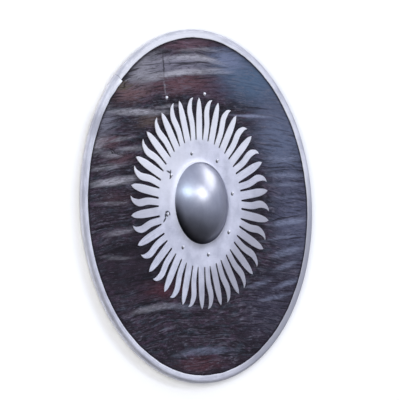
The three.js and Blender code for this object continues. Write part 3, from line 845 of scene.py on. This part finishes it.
def makeRim():
    # a C-shaped section of even thickness, with round edges, carried round the board a little over once
    wall = rim["wall"]
    lapSweep = math.degrees(rim["lapLength"] / shieldRadius)
    lapStart = rim["lapAngle"] - lapSweep
    first = lapStart + lapSweep * rim["lapRise"]
    last = rim["lapAngle"] + 360
    degree = math.radians(1) * shieldRadius
    cutSteps = np.array(rim["endSteps"]) * wall / degree
    body = np.linspace(first + cutSteps[-1], last - cutSteps[-1], int((last - first) / rim["step"]))
    lap = np.linspace(lapStart + 360, last - cutSteps[-1], rim["lapSteps"])
    angle = np.unique(np.concatenate([first + cutSteps, body, lap, last - cutSteps]))
    toEnd = np.minimum(angle - first, last - angle) * degree
    half = wall / 2 * np.sqrt(1 - np.clip(1 - toEnd / (wall / 2), 0, 1) ** 2)
    climb = smoothStep(angle, lapStart + 360, lapStart + 360 + lapSweep * rim["lapRise"])
    fold = (faceLevel - backLevel) / 2 + clearance + wall / 2
    foldRadius = fold + climb * wall * rim["lapLift"]
    foldCentre = shieldRadius - fold - wall / 2
    edge = shieldRadius - rim["faceWidth"] + wall / 2 - rim["lapOverhang"] * climb
    slow, quick = (softNoise(angle / size, 0 * angle, seed) for size, seed in zip(rim["wanderSteps"], (5, 6)))
    wander = rim["edgeWander"] * (slow + 0.5 * quick)
    edge = edge + np.minimum(wander, rim["wanderLimit"]) - rim["edgeShift"] * np.sin(np.radians(angle))

    # the section's middle line: lower leg from its edge, the fold, upper leg back to its edge
    leg = np.linspace(0, 1, rim["legSteps"], endpoint=False)
    bend = np.radians(np.linspace(-90, 90, rim["foldSteps"]))
    lower = edge[:, None] + (foldCentre - edge[:, None]) * leg
    upper = lower[:, ::-1]
    crimp = rim["crimp"] * (1 - leg)
    r = np.concatenate([lower, foldCentre + foldRadius[:, None] * np.cos(bend), upper], 1)
    lowerZ = midLevel - foldRadius[:, None] + crimp
    upperZ = midLevel + foldRadius[:, None] - crimp[::-1]
    z = np.concatenate([lowerZ, midLevel + foldRadius[:, None] * np.sin(bend), upperZ], 1)
    nearCut = smoothStep(angle, last - rim["cornerLength"] / degree, last)[:, None]
    nearEdge = (1 - smoothStep(r, edge[:, None], edge[:, None] + rim["cornerDepth"])) * (z > midLevel)
    z = z + rim["cornerLift"] * nearCut * nearEdge
    along, across = rim["waveSize"]
    z = z + rim["waveHeight"] * softNoise(angle[:, None] / along, r / across, 8) * (z > midLevel)

    # both faces lie half the thickness to the sides of that line, joined round its two edges
    dr, dz = np.gradient(r, axis=1), np.gradient(z, axis=1)
    size = np.hypot(dr, dz)
    dr, dz = dr / size, dz / size
    h = half[:, None]
    cap = np.radians(np.array([-45, 0, 45]))

    def loop(line, normal, along):
        # one coordinate of the closed section: a face, the cap on its end, the other face, the other cap
        endCap = normal[:, -1:] * np.sin(-cap) + along[:, -1:] * np.cos(cap)
        startCap = normal[:, :1] * np.sin(cap) - along[:, :1] * np.cos(cap)
        faces = line + normal * h, (line - normal * h)[:, ::-1]
        return np.concatenate([faces[0], line[:, -1:] + endCap * h, faces[1], line[:, :1] + startCap * h], 1)

    loopR, loopZ = loop(r, dz, dr), loop(z, -dr, dz)
    return pointsAt(*polar(loopR, angle[:, None]), loopZ), gridFaces(*loopR.shape)


addPiece("steelRim", *makeRim(), rimLook, "rim_steel", ["rim"], sharpAngle=50)


# Sun: one sheet with 22 straight and 22 wavy rays, its middle hole turned up round the dome

sun = {
    "thickness": 1.2,
    "pairs": 22,
    "firstAngle": 3.25,
    "rootRadius": 110.9,
    "rayLength": 72.0,
    "slotWidth": 3.1,
    "slotSag": 1.6,
    "wavyRootWidth": 11.2,
    "wavyWidth": 12.6,
    "wavyTaperPower": 2.6,
    "straightWidths": [(0, 1), (0.52, 1), (0.66, 0.94), (0.8, 0.76), (0.91, 0.5), (1, 0)],
    "wavyLine": [(0, -0.4), (0.36, 0.9), (0.68, -2.3), (0.86, 0.6), (0.95, 4.6), (1, 9.6)],
    "lipRadius": 87.0,          # where the sheet begins to turn up
    "lipEdge": 71.0,
    "lipRise": 3.2,
    "lipPower": 3.2,            # the higher, the nearer the dome it turns up
    "widestAt": 0.5,            # share of a wavy ray's length
    "rootBlend": 0.12,          # share in which it turns out of the sheet's own direction
    "sagWidth": 8.0,            # the rings this near to the rays bend with the slots' round ends
    "acrossRay": 8,
    "acrossSlot": 4,
    "alongRay": 34,
    "tipSteps": 1.35,           # the higher, the closer its steps stand towards the tip
    "lipRings": 14,
    "flatRings": 10,
    "edgeDrop": 0.05,
    "sheetWave": 0.16,
    "waveSizes": (34.0, 12.0),
    "tipLift": 0.7,
    "lengthSpread": 0.012,      # rays differ by this share of their length
    "leanSpread": 0.9,          # and lean by this much at their tips
}
plateTop = faceLevel + clearance + sun["thickness"]


def alongCurve(curve, share):
    # a curve of evenly spaced points, read at shares of its length
    where = share * (len(curve) - 1)
    return np.stack([np.interp(where, np.arange(len(curve)), curve[:, k]) for k in (0, 1)], -1)


def raySides(wavy):
    # a ray in its own frame: for each step along it, its middle line, the unit vector across it and its width
    share = 1 - (1 - np.linspace(0, 1, sun["alongRay"] + 1)) ** sun["tipSteps"]
    if wavy:
        knots = [(side, sun["rayLength"] * part) for part, side in sun["wavyLine"]]
        fine = splineThrough(knots, 1201)
        middle, across = alongCurve(fine, share), alongCurve(-sideways(fine), share)
        across = across + (np.array([1, 0]) - across) * (1 - smoothStep(share, 0, sun["rootBlend"]))[:, None]
        grown = np.clip(share / sun["widestAt"], 0, 1)
        past = np.clip((share - sun["widestAt"]) / (1 - sun["widestAt"]), 0, 1)
        width = sun["wavyRootWidth"] + (sun["wavyWidth"] - sun["wavyRootWidth"]) * grown
        width = width * (1 - past ** sun["wavyTaperPower"])
    else:
        pairArc = 2 * math.pi * sun["rootRadius"] / sun["pairs"]
        root = pairArc - sun["wavyRootWidth"] - 2 * sun["slotWidth"]
        curve = splineThrough(sun["straightWidths"], 1200)
        width = root * np.interp(share, curve[:, 0], curve[:, 1])
        middle = np.stack([0 * share, sun["rayLength"] * share], -1)
        across = np.stack([1 + 0 * share, 0 * share], -1)
    return middle, across, np.maximum(width, 0), share


def makeSun():
    # rings of points round the middle, with columns for each ray and each slot in turn, and from the last
    # ring a grid up each ray; a second skin of the same points lies the sheet's thickness below
    rays = 2 * sun["pairs"]
    pitch = 360 / rays
    root, lip = sun["rootRadius"], sun["lipRadius"]
    wobble = np.random.default_rng(11)
    u = np.sin(np.radians(np.linspace(-90, 90, sun["acrossRay"] + 1)))
    s = np.linspace(-1, 1, sun["acrossSlot"] + 1)[1:-1]
    shapes = [raySides(False), raySides(True)]
    rootX = [middle[0, 0] + u * width[0] / 2 for middle, _, width, _ in shapes]
    toAngle = math.degrees(1 / root)
    angles, sag = [], []
    for k in range(rays):
        own, following = rootX[k % 2], rootX[(k + 1) % 2]
        start = own[-1] * toAngle
        end = pitch + following[0] * toAngle
        slot = (start + end) / 2 + (end - start) / 2 * s
        angles += [sun["firstAngle"] + pitch * k + own * toAngle, sun["firstAngle"] + pitch * k + slot]
        sag += [0 * own, sun["slotSag"] * np.sqrt(1 - s**2)]
    angles, sag = np.concatenate(angles), np.concatenate(sag)

    # ring rows, from the lip's cut edge outwards, each as the top's and the bottom's (radius, z)
    bottomLevel = plateTop - sun["thickness"]
    radii = np.concatenate([np.linspace(sun["lipEdge"], lip, sun["lipRings"] + 1)[:-1],
                            np.linspace(lip, root, sun["flatRings"])])
    up = np.clip((lip - radii) / (lip - sun["lipEdge"]), 0, 1) ** sun["lipPower"]
    slope = np.gradient(sun["lipRise"] * up, radii)
    upright = np.hypot(1, slope)
    topRows = np.stack([radii, plateTop + sun["lipRise"] * up], -1)
    bottomRows = topRows + sun["thickness"] * np.stack([slope / upright, -1 / upright], -1)
    inset = smoothStep(radii, root - sun["sagWidth"], root)[:, None] * sag

    def ringGrid(rows):
        return pointsAt(*polar(rows[:, :1] - inset, angles, sunCentre), rows[:, 1:])

    top, bottom = [ringGrid(topRows)], [ringGrid(bottomRows)]
    faces = [gridFaces(len(topRows), len(angles))]
    perRay = len(u) + len(s)
    rootRow = (len(topRows) - 1) * len(angles)
    total = len(top[0])
    for k in range(rays):
        middle, across, width, share = shapes[k % 2]
        stretch = 1 + wobble.uniform(-sun["lengthSpread"], sun["lengthSpread"])
        lean = wobble.uniform(-sun["leanSpread"], sun["leanSpread"]) * share**2
        place = middle[:, None] + across[:, None] * (u[:, None] * width[:, None, None] / 2)
        radius = root + place[..., 1] * stretch
        turn = sun["firstAngle"] + pitch * k + np.degrees((place[..., 0] + lean[:, None]) / radius)
        x, y = polar(radius, turn, sunCentre)
        lift = sun["tipLift"] * wobble.uniform(0.1, 1.0) * share[:, None] ** 2
        full = smoothStep(share, 0, 0.1) * np.clip(width / 2, 0, 1)
        crown = sun["edgeDrop"] * np.abs(u) ** 4 * full[:, None]
        top.append(pointsAt(x, y, plateTop + lift - crown)[len(u):])
        bottom.append(pointsAt(x, y, bottomLevel + lift)[len(u):])
        first = rootRow + perRay * k + np.arange(len(u))
        later = total + np.arange((len(share) - 1) * len(u)).reshape(-1, len(u))
        index = np.concatenate([first[None], later])
        quads = np.stack([index[:-1, :-1], index[:-1, 1:], index[1:, 1:], index[1:, :-1]], -1)
        faces.append(quads.reshape(-1, 4))
        total += later.size
    top, bottom, faces = np.concatenate(top), np.concatenate(bottom), np.concatenate(faces)
    wide, small = (top[:, :2] / size for size in sun["waveSizes"])
    wave = softNoise(*(wide + 9).T, 21) + 0.5 * softNoise(*small.T, 22)
    beyondLip = smoothStep(fromSunCentre(*top[:, :2].T), lip + 2, root)
    wave = sun["sheetWave"] * (wave / 1.5 * 0.8 + 0.2) * beyondLip
    top[:, 2] += wave
    bottom[:, 2] += wave
    return closedSheet(top, bottom, faces)


addPiece("steelSun", *makeSun(), plateLook, "plate_steel", ["sun_plate"], sharpAngle=45, bevel=0.2)


# Boss: a hollow dome raised from sheet, its flange under the sun

boss = {
    "wall": 1.5,
    "height": 33.0,
    "bendRadius": 79.9,
    "bend": 14.5,
    "flangeRadius": 97.9,
    "columns": 160,
    "domeSteps": 40,
    "bendSteps": 12,
    "flangeFlat": 6.0,
    "hammerDepth": 0.16,
    "hammerSize": 17.0,
    "hammeredTo": (50.0, 68.0),     # radii where the dents begin to fade and are gone
}


def makeBoss():
    # two skins turned from (radius, z) profiles: a sphere's cap, a bend that meets it smoothly, a flat flange
    turn = math.degrees(2 * math.atan(boss["height"] / boss["bendRadius"]))
    domeRadius = boss["bendRadius"] / math.sin(math.radians(turn)) - boss["bend"]
    domeCentre = (0, faceLevel + boss["height"] - domeRadius)
    bendCentre = (boss["bendRadius"], faceLevel + boss["bend"])

    def skin(depth):
        dome = arcPoints(domeCentre, domeRadius - depth, 90, 90 - turn, boss["domeSteps"])
        bend = arcPoints(bendCentre, boss["bend"] + depth, 270 - turn, 270, boss["bendSteps"])
        flange = [[boss["flangeRadius"] - inset, faceLevel - depth] for inset in (boss["flangeFlat"], 0)]
        return np.concatenate([dome, bend[1:], flange])

    outer, inner = skin(0), skin(boss["wall"])
    profile = np.concatenate([outer, inner[::-1]])
    points, faces = turnedSurface(profile, boss["columns"], sunCentre)
    radius = fromSunCentre(*points[:, :2].T)
    at = points[:, :2] / boss["hammerSize"]
    dent = (softNoise(*(at + 40).T, 31) + 0.5 * softNoise(*(at * 2.2 + 40).T, 32) - 1.5) / 3
    points[:, 2] += boss["hammerDepth"] * dent * (1 - smoothStep(radius, *boss["hammeredTo"]))
    return points, faces


addPiece("domedBoss", *makeBoss(), bossLook, "boss_steel", ["boss"], sharpAngle=50)


# Nails and rivets: shallow domed heads on round shanks

nail = {
    "shankRadius": 1.2,
    "headRadius": 2.8,
    "headHeight": 1.7,
    "underHead": plateTop + clearance,
    "point": backLevel + 0.7,
    "pointLength": 2.4,
}
rivet = {
    "shankRadius": 1.8,
    "headRadius": 3.2,
    "headHeight": 2.2,
    "peenHeight": 1.5,
    # radius and level over its lowest point, from its middle outwards
    "peen": [(0, 0), (1.6, 0), (2.9, 0.15), (3.7, 0.6), (4.0, 1.2), (3.9, 1.5)],
}
head = {
    "columns": 32,
    "domeSteps": 10,
    "undercut": 0.94,           # how wide it is underneath, as a share
    "edgeHeight": 0.05,         # share of its height
    "edgeAngle": 9.0,           # the dome begins this far up from its base
}


def headProfile(radius, height, level):
    # a sphere's cap with a short rounded edge, from under the edge to the top, as (radius, z)
    sphere = (radius**2 + height**2) / (2 * height)
    half = math.degrees(math.asin(min(radius / sphere, 1)))
    start = 90 - half + head["edgeAngle"]
    cap = arcPoints((0, level + height - sphere), sphere, start, 90, head["domeSteps"])
    edge = [[radius * head["undercut"], level], [radius, level + head["edgeHeight"] * height]]
    return np.concatenate([edge, cap])


def makeNail(x, y, rng):
    # a pointed shank under a domed head that is a little lower on one side
    level = nail["underHead"]
    shank = [[0, nail["point"]], [nail["shankRadius"], nail["point"] + nail["pointLength"]],
             [nail["shankRadius"], level]]
    profile = np.concatenate([shank, headProfile(nail["headRadius"], nail["headHeight"], level)])
    points, faces = turnedSurface(profile, head["columns"], (x, y))
    angle, dent = rng.uniform(0, 2 * math.pi), rng.uniform(0.02, 0.06)
    across = (points[:, 0] - x) * math.cos(angle) + (points[:, 1] - y) * math.sin(angle)
    above = np.clip(points[:, 2] - level, 0, None)
    points[:, 2] -= above * dent * np.clip(across, -3, 3) / 3
    return points, faces


nailRandom = np.random.default_rng(5)
for number, (x, y) in enumerate(nailPlaces, 1):
    shape = makeNail(x, y, nailRandom)
    addPiece(f"bossNail{number}", *shape, nailLook, "nail_steel", [f"boss_nail_{number}"], sharpAngle=50)


# Straps: leather strips riveted at both ends, standing off the board between four bends

strap = {
    "thickness": 3.0,
    "room": 12.0,
    "bend": 4.5,                # radius of its middle line in each of the four bends
    "slope": 75.0,
    "footLength": 9.0,          # flat on the board from a rivet inwards
    "endMargin": 15.0,
    "cornerLength": 8.0,
    "edgeRound": 1.1,
    "creaseInset": 3.5,         # a line pressed along both edges
    "creaseDepth": 0.25,
    "creaseWidth": 0.6,
    "creaseFrom": 6.0,          # it stops where half the strap's width is less
    "top": backLevel - clearance,
    "bendSteps": 12,
    "middleSteps": 16,
    "tailSteps": 30,
    "roundSteps": 5,
    "acrossSteps": 15,
}
straps = {
    "gripStrap": {"centre": (-23.0, 191.0), "span": 100.8, "width": 30.0, "turn": 2.4, "node": "grip_strap"},
    "armStrap": {"centre": (0.0, -19.2), "span": 103.9, "width": 36.0, "turn": 0.0, "node": "arm_strap"},
}


def strapPath(span):
    # the middle line of a strap from its centre to one end, as (x, z)
    slope = math.radians(strap["slope"])
    rise = strap["room"] - clearance
    steep = (rise - 2 * strap["bend"] * (1 - math.cos(slope))) / math.sin(slope)
    footX = span / 2 - strap["footLength"]
    crestX = footX - 2 * strap["bend"] * math.sin(slope) - steep * math.cos(slope)
    topZ = strap["top"] - strap["thickness"] / 2
    bend, turn, steps = strap["bend"], strap["slope"], strap["bendSteps"]
    crest = arcPoints((crestX, topZ - rise + bend), bend, 270, 270 + turn, steps)
    foot = arcPoints((footX, topZ - bend), bend, 90 + turn, 90, steps)
    flat = np.linspace(0, crestX, strap["middleSteps"], endpoint=False)
    end = span / 2 + strap["endMargin"]
    tail = footX + (end - footX) * np.sin(np.radians(np.linspace(0, 90, strap["tailSteps"])))[1:]
    return np.concatenate([
        np.stack([flat, crest[0, 1] + 0 * flat], -1), crest, foot, np.stack([tail, topZ + 0 * tail], -1),
    ])


def makeStrap(centre, span, width, turn):
    # a rounded oblong section carried along the path, narrowing to nothing round each end
    half = strapPath(span)
    path = np.concatenate([half[::-1] * [-1, 1], half[1:]])
    normal = sideways(path)
    end = span / 2 + strap["endMargin"]
    corner = end - strap["cornerLength"]
    t = np.clip((np.abs(path[:, 0]) - corner) / strap["cornerLength"], 0, 1)
    plan = width / 2 * (1 - (1 - np.sqrt(np.clip(1 - t, 0, 1))) ** 2)
    r, h = strap["edgeRound"], strap["thickness"] / 2
    arc = np.radians(np.linspace(0, 90, strap["roundSteps"]))
    right = np.stack([-r + r * np.sin(arc), h - r + r * np.cos(arc)], -1)
    side = np.concatenate([right, right[::-1] * [1, -1]])
    flat = np.linspace(-1, 1, strap["acrossSteps"])[1:-1]
    across = np.concatenate([flat, np.ones(len(side)), flat[::-1], -np.ones(len(side))])
    inset = np.concatenate([-r * flat, side[:, 0], -r * flat[::-1], -side[::-1, 0]])
    depth = np.concatenate([h + 0 * flat, side[:, 1], -h + 0 * flat, side[::-1, 1]])
    offset = across * plan[:, None] + inset * np.clip(plan / r, 0, 1)[:, None]
    onFlat = np.abs(across) < 1
    fromEdge = plan[:, None] - strap["creaseInset"] - np.abs(offset)
    crease = strap["creaseDepth"] * np.exp(-(fromEdge / strap["creaseWidth"]) ** 2) * onFlat
    depth = depth - np.sign(depth) * crease * (plan[:, None] > strap["creaseFrom"])
    x = path[:, :1] + normal[:, :1] * depth
    z = path[:, 1:] + normal[:, 1:] * depth
    a = math.radians(turn)
    px = centre[0] + x * math.cos(a) - offset * math.sin(a)
    py = centre[1] + x * math.sin(a) + offset * math.cos(a)
    return pointsAt(px, py, z), gridFaces(*x.shape)


for name, size in straps.items():
    shape = makeStrap(size["centre"], size["span"], size["width"], size["turn"])
    addPiece(name, *shape, leatherLook, "leather", [size["node"]], sharpAngle=60)


def makeRivet(x, y, surface):
    # head on the wood, shank through the board and the strap, and the end that was hammered flat over it
    level = surface + clearance
    peenTop = strap["top"] - strap["thickness"] - clearance
    peen = np.array(rivet["peen"]) + [0, peenTop - rivet["peenHeight"]]
    shank = [[rivet["shankRadius"], peenTop], [rivet["shankRadius"], level]]
    profile = np.concatenate([peen, shank, headProfile(rivet["headRadius"], rivet["headHeight"], level)])
    return turnedSurface(profile, head["columns"], (x, y))


rivetSurfaces = {"gripStrap": faceLevel, "armStrap": faceLevel - board["seatDepth"]}    # where heads rest
rivetNumber = 0
for name, size in straps.items():
    a = math.radians(size["turn"])
    for side in (-1, 1):
        x = size["centre"][0] + side * size["span"] / 2 * math.cos(a)
        y = size["centre"][1] + side * size["span"] / 2 * math.sin(a)
        shape = makeRivet(x, y, rivetSurfaces[name])
        rivetNumber += 1
        node = f"strap_rivet_{rivetNumber}"
        addPiece(f"strapRivet{rivetNumber}", *shape, nailLook, "nail_steel", [node], sharpAngle=50)
print("all pieces made")


# Floor, light and camera

studio = {
    "floorRadius": 9000.0,
    "floorColour": (0.97, 0.97, 0.97, 1),
    "floorSides": 96,
    # the room is brighter towards +Y, overhead and a little towards +X: its colours at the dark and the
    # bright side, the values of a direction where they begin, and what its Z and X count beside its Y
    "dark": (0.030, 0.029, 0.034, 1),
    "bright": (0.56, 0.60, 0.76, 1),
    "darkBright": (-0.70, 0.62),
    "overhead": 0.35,
    "level": 0.6,
    "aside": 0.24,
    # direction from the shield (azimuth from +X towards +Y, elevation), distance, width and height in metres,
    # brightness, colour
    "lights": {
        "tallWindow": ((32, 22), 3.2, (1.1, 2.2), 1.65, (1.0, 0.99, 0.98)),
        "roofWindow": ((38, 63), 3.2, (0.9, 0.95), 3.2, (1.0, 1.0, 1.0)),
        "roofBand": ((80, 68), 3.2, (1.5, 0.5), 2.0, (0.93, 0.96, 1.0)),
        "blueWindow": ((116, 61), 2.6, (0.7, 0.7), 2.8, (0.70, 0.88, 1.0)),
        "fill": ((180, 37), 16.0, (8.0, 6.0), 18.0, (1.0, 0.99, 0.96)),
    },
}


def addFloor():
    mesh = bpy.data.meshes.new("floor")
    angle = np.linspace(0, 2 * np.pi, studio["floorSides"], endpoint=False)
    ring = np.stack([np.cos(angle), np.sin(angle), 0 * angle], -1) * studio["floorRadius"] * toMetres
    mesh.from_pydata(ring.tolist(), [], [list(range(len(ring)))])
    material, _, _ = newMaterial("floor", Base_Color=studio["floorColour"], Roughness=0.9)
    mesh.materials.append(material)
    floor = addObject("floor", mesh)


def addLights():
    target = Vector((0, 0, faceLevel * toMetres))
    for name, (aim, distance, size, brightness, colour) in studio["lights"].items():
        azimuth, elevation = math.radians(aim[0]), math.radians(aim[1])
        out = Vector((math.cos(elevation) * math.cos(azimuth), math.cos(elevation) * math.sin(azimuth),
                      math.sin(elevation)))
        lamp = bpy.data.lights.new(name, "AREA")
        lamp.shape = "RECTANGLE"
        lamp.size, lamp.size_y = size
        lamp.energy = brightness * math.pi * size[0] * size[1]
        lamp.color = colour
        light = addObject(name, lamp)
        light.visible_glossy = name != "fill"       # the fill doesn't show in the steel
        turned = out.to_track_quat("Z", "Y").to_matrix().to_4x4()
        light.matrix_world = Matrix.Translation(target + out * distance) @ turned


def addWorld():
    # background colour by the direction's Y, with some of its Z and X
    world = bpy.data.worlds.new("studio")
    world.use_nodes = True
    g = Graph(world.node_tree)
    x, y, z = g.split(g.node("ShaderNodeTexCoord", {}))
    slope = y + (z - studio["level"]) * studio["overhead"] + x * studio["aside"]
    colour = g.blend(g.ramp(slope, *studio["darkBright"]), studio["dark"], studio["bright"])
    g.feed(world.node_tree.nodes["Background"], {"Color": colour})
    bpy.context.scene.world = world


# metres and degrees, the lens and the sensor in millimetres
view = {
    "aim": (0.0001, 0.01086, 0.0237),
    "distance": 11.54,
    "slant": 49.66,             # between the line of sight and the face's own axis
    "roll": -2.946,
    "lens": 603.5,
    "sensor": 36,
    "sightEnd": 60,
}


def addCamera():
    slant, roll = math.radians(view["slant"]), math.radians(view["roll"])
    level = Vector((math.cos(slant), 0, math.sin(slant)))
    across = Vector((0, 1, 0))
    right = level * math.cos(roll) + across * math.sin(roll)
    up = across * math.cos(roll) - level * math.sin(roll)
    back = right.cross(up)
    camera = addObject("camera", bpy.data.cameras.new("camera"))
    camera.data.lens = view["lens"]
    camera.data.sensor_width = view["sensor"]
    camera.data.clip_end = view["sightEnd"]
    axes = Matrix((right, up, back)).transposed().to_4x4()
    camera.matrix_world = Matrix.Translation(Vector(view["aim"]) + back * view["distance"]) @ axes
    bpy.context.scene.camera = camera


addFloor()
addLights()
addWorld()
addCamera()
bpy.context.scene.view_settings.view_transform = "Standard"
print("floor, lights and camera set")

bpy.context.view_layer.update()
